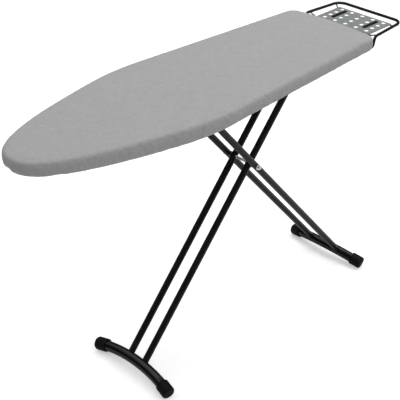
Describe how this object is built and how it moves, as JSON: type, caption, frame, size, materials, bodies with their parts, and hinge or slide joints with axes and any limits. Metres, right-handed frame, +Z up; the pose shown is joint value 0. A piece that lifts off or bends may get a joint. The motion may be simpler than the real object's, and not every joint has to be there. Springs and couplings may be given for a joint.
{
  "type": "ironing board",
  "caption": "Folding ironing board on crossed tubular legs, with a tapered padded top in a fitted cloth cover, an under-board height lever and a fixed perforated iron rest at its wide end.",
  "frame": {"origin": "centre of the bounding box at floor level, under the middle of the length from nose tip to iron rest", "axes": "+X along the board from the pointed nose to the iron rest, +Y across the board to the far side, +Z up with the feet on the floor"},
  "size_m": [1.355, 0.3978, 0.86],
  "materials": {
    "cover_cotton": "woven cotton, matt",
    "hem_elastic": "elastic tape",
    "pad_foam": "open-cell foam",
    "grey_sheet_steel": "satin powder coat",
    "zinc_steel": "zinc plated",
    "black_frame_paint": "satin powder coat",
    "black_foot_paint": "gloss powder coat",
    "foot_rubber": "matt",
    "rest_plate_paint": "satin grey coat",
    "silicone": "matt silicone",
    "black_nylon": "moulded",
    "grip_plastic": "fine textured",
    "bright_nut": "bright plated",
    "spring_steel": "spring wire"
  },
  "bodies": {
    "deck": {"cover": "cover_cotton", "hem_elastic": "hem_elastic", "foam_pad": "pad_foam", "mesh_panel": "grey_sheet_steel", "rim_frame": "grey_sheet_steel", "cross_brace_nose": "grey_sheet_steel", "cross_brace_track": "grey_sheet_steel", "cross_brace_middle": "grey_sheet_steel", "cross_brace_pivot": "grey_sheet_steel", "cross_brace_rear": "grey_sheet_steel", "slide_rail_far": "zinc_steel", "slide_rail_near": "zinc_steel", "rail_stops": "black_nylon", "rail_rivets": "zinc_steel", "pivot_bracket_far": "zinc_steel", "pivot_bracket_near": "zinc_steel", "fixed_pivot_pin": "zinc_steel", "bracket_rivets": "zinc_steel", "iron_rest_loop": "black_frame_paint", "iron_rest_wires": "black_frame_paint", "iron_rest_plate": "rest_plate_paint", "iron_rest_strips": "silicone", "rest_saddle_front_near": "black_nylon", "rest_saddle_front_far": "black_nylon", "rest_saddle_rear_near": "black_nylon", "rest_saddle_rear_far": "black_nylon", "saddle_screws": "zinc_steel", "lever_bracket": "zinc_steel", "lever_pin": "zinc_steel", "lever_spring": "spring_steel"},
    "front_leg": {"front_leg_tube_near": "black_frame_paint", "front_leg_tube_far": "black_frame_paint", "front_leg_plug_near": "black_nylon", "front_leg_plug_far": "black_nylon", "front_foot_bar": "black_foot_paint", "front_foot_cap_near": "foot_rubber", "front_foot_cap_far": "foot_rubber", "front_leg_washers": "black_nylon", "front_leg_top_sleeve": "black_nylon", "cross_pivot_rod": "zinc_steel", "cross_spacers": "black_nylon", "cross_inner_nuts": "bright_nut", "cross_washers": "bright_nut", "cross_cap_nuts": "bright_nut"},
    "rear_leg": {"rear_leg_tube_near": "black_frame_paint", "rear_leg_tube_far": "black_frame_paint", "rear_leg_plug_near": "black_nylon", "rear_leg_plug_far": "black_nylon", "rear_foot_bar": "black_foot_paint", "rear_foot_cap_near": "foot_rubber", "rear_foot_cap_far": "foot_rubber", "slide_rod": "zinc_steel"},
    "glides": {"glide_far": "black_nylon", "glide_near": "black_nylon"},
    "height_lever": {"latch_plate": "zinc_steel", "lever_handle": "black_frame_paint", "lever_grip": "grip_plastic"}
  },
  "joints": [
    {"name": "leg_fold", "type": "hinge", "parent": "deck", "child": "front_leg", "pos_m": [0.33663, 0, 0.813], "axis": [0, 1, 0], "range_deg": [0, 47.6]},
    {"name": "leg_cross", "type": "hinge", "parent": "front_leg", "child": "rear_leg", "pos_m": [0.1035, 0, 0.541], "axis": [0, 1, 0], "range_deg": [-95.2, 0]},
    {"name": "glide_turn", "type": "hinge", "parent": "rear_leg", "child": "glides", "pos_m": [-0.12963, 0, 0.813], "axis": [0, 1, 0], "range_deg": [0, 47.6]},
    {"name": "lever_squeeze", "type": "hinge", "parent": "deck", "child": "height_lever", "pos_m": [-0.3325, 0, 0.834], "axis": [0, -1, 0], "range_deg": [0, 3.5], "stiffness_Nm_per_rad": 0.5, "springref_deg": -57.3}
  ],
  "couplings": [
    {"joint": "leg_cross", "follows": "leg_fold", "ratio": -2},
    {"joint": "glide_turn", "follows": "leg_fold", "ratio": 1}
  ]
}
